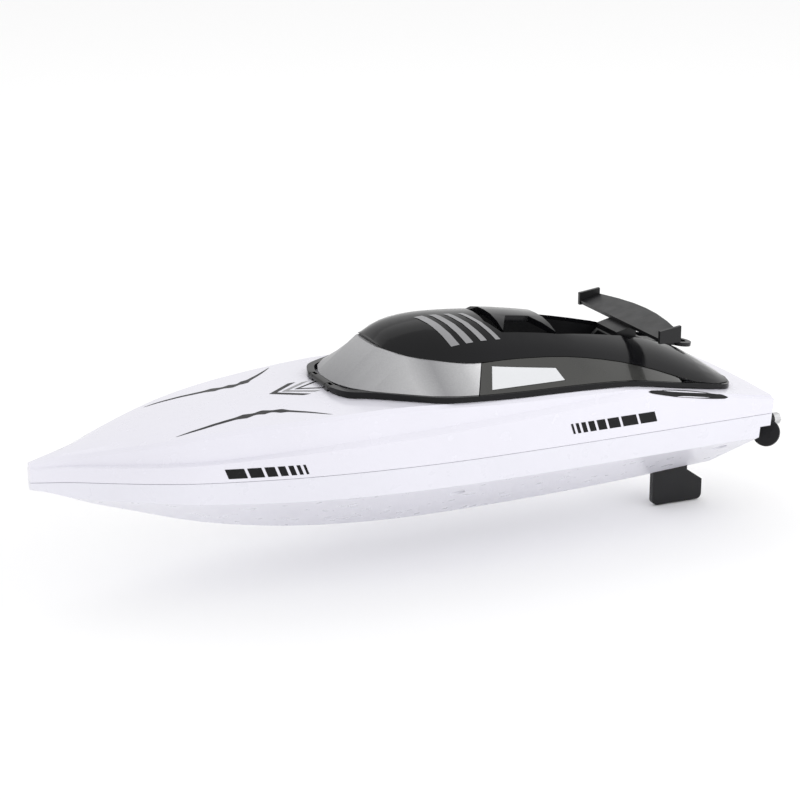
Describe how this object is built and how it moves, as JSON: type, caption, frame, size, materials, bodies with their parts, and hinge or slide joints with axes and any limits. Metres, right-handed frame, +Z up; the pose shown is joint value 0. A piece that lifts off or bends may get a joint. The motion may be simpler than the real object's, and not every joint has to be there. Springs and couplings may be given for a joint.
{
  "type": "remote-control speedboat",
  "caption": "Remote-control deep-V speedboat with a lift-up cabin, roof scoop, rear wing, side windows, centre skeg and stern propellers.",
  "frame": {"origin": "on the centreline, midway between the bow and the tips of the propeller nuts, level with the foot of the skeg", "axes": "+X to the bow, +Y to port, +Z up"},
  "size_m": [0.316, 0.0878, 0.096],
  "materials": {
    "hull_white": "glossy moulded",
    "hull_lower_white": "glossy moulded",
    "gloss_black": "glossy moulded",
    "satin_black": "satin moulded",
    "screen_silver": "satin silver",
    "frame_grey": "satin gunmetal",
    "window_white": "glossy",
    "seal_rubber": "matt",
    "steel": "machined",
    "brass": "machined",
    "board_green": "lacquered board",
    "battery_wrap": "shrink wrap",
    "switch_red": "moulded"
  },
  "bodies": {
    "hull": {"lower_hull": "hull_lower_white", "upper_deck": "hull_white", "hull_seal": "seal_rubber", "hull_screws": "steel", "skeg_fin": "satin_black", "shaft_tube_left": "brass", "shaft_tube_right": "brass", "motor_can_left": "steel", "motor_can_right": "steel", "motor_mount": "satin_black", "battery_tray": "satin_black", "battery_pack": "battery_wrap", "receiver_board": "board_green", "water_contacts": "brass", "switch_housing": "satin_black", "hatch_gasket": "seal_rubber", "hatch_cover": "hull_white", "latch_keeper": "hull_white", "hinge_lugs": "gloss_black"},
    "port_drive": {"propeller_left": "satin_black", "propeller_nut_left": "steel", "propeller_shaft_left": "steel", "shaft_coupler_left": "satin_black", "motor_rotor_left": "steel"},
    "starboard_drive": {"propeller_right": "satin_black", "propeller_nut_right": "steel", "propeller_shaft_right": "steel", "shaft_coupler_right": "satin_black", "motor_rotor_right": "steel"},
    "cabin": {"base_trim": "gloss_black", "hinge_pins": "steel", "windscreen": "screen_silver", "side_frame_left": "frame_grey", "side_frame_right": "frame_grey", "side_window_left": "window_white", "side_window_right": "window_white", "roof_shell": "gloss_black", "air_scoop": "gloss_black", "cockpit_tub": "satin_black", "rear_wing": "satin_black", "wing_pylon": "satin_black", "latch_bracket": "satin_black", "latch_pin": "steel"},
    "latch": {"latch_lever": "satin_black"},
    "front_catch": {"hatch_catch_front": "satin_black"},
    "rear_catch": {"hatch_catch_rear": "satin_black"},
    "switch_knob": {"switch_slider": "switch_red"}
  },
  "joints": [
    {"name": "port_propeller_spin", "type": "hinge", "parent": "hull", "child": "port_drive", "pos_m": [-0.15405, 0.022, 0.03937], "axis": [1, 0, 0], "continuous": true},
    {"name": "starboard_propeller_spin", "type": "hinge", "parent": "hull", "child": "starboard_drive", "pos_m": [-0.15405, -0.022, 0.03937], "axis": [1, 0, 0], "continuous": true},
    {"name": "cabin_hinge", "type": "hinge", "parent": "hull", "child": "cabin", "pos_m": [0.04051, 0, 0.07322], "axis": [0, 1, 0], "range_deg": [0, 60]},
    {"name": "latch_turn", "type": "hinge", "parent": "cabin", "child": "latch", "pos_m": [-0.10156, 0, 0.07347], "axis": [0, 1, 0], "range_deg": [0, 45]},
    {"name": "front_catch_turn", "type": "hinge", "parent": "hull", "child": "front_catch", "pos_m": [0.00095, 0, 0.07264], "axis": [0, 0, 1], "range_deg": [0, 90]},
    {"name": "rear_catch_turn", "type": "hinge", "parent": "hull", "child": "rear_catch", "pos_m": [-0.04705, 0, 0.07264], "axis": [0, 0, 1], "range_deg": [0, 90]},
    {"name": "switch_slide", "type": "slide", "parent": "hull", "child": "switch_knob", "axis": [0, 1, 0], "range_m": [0, 0.004]}
  ]
}
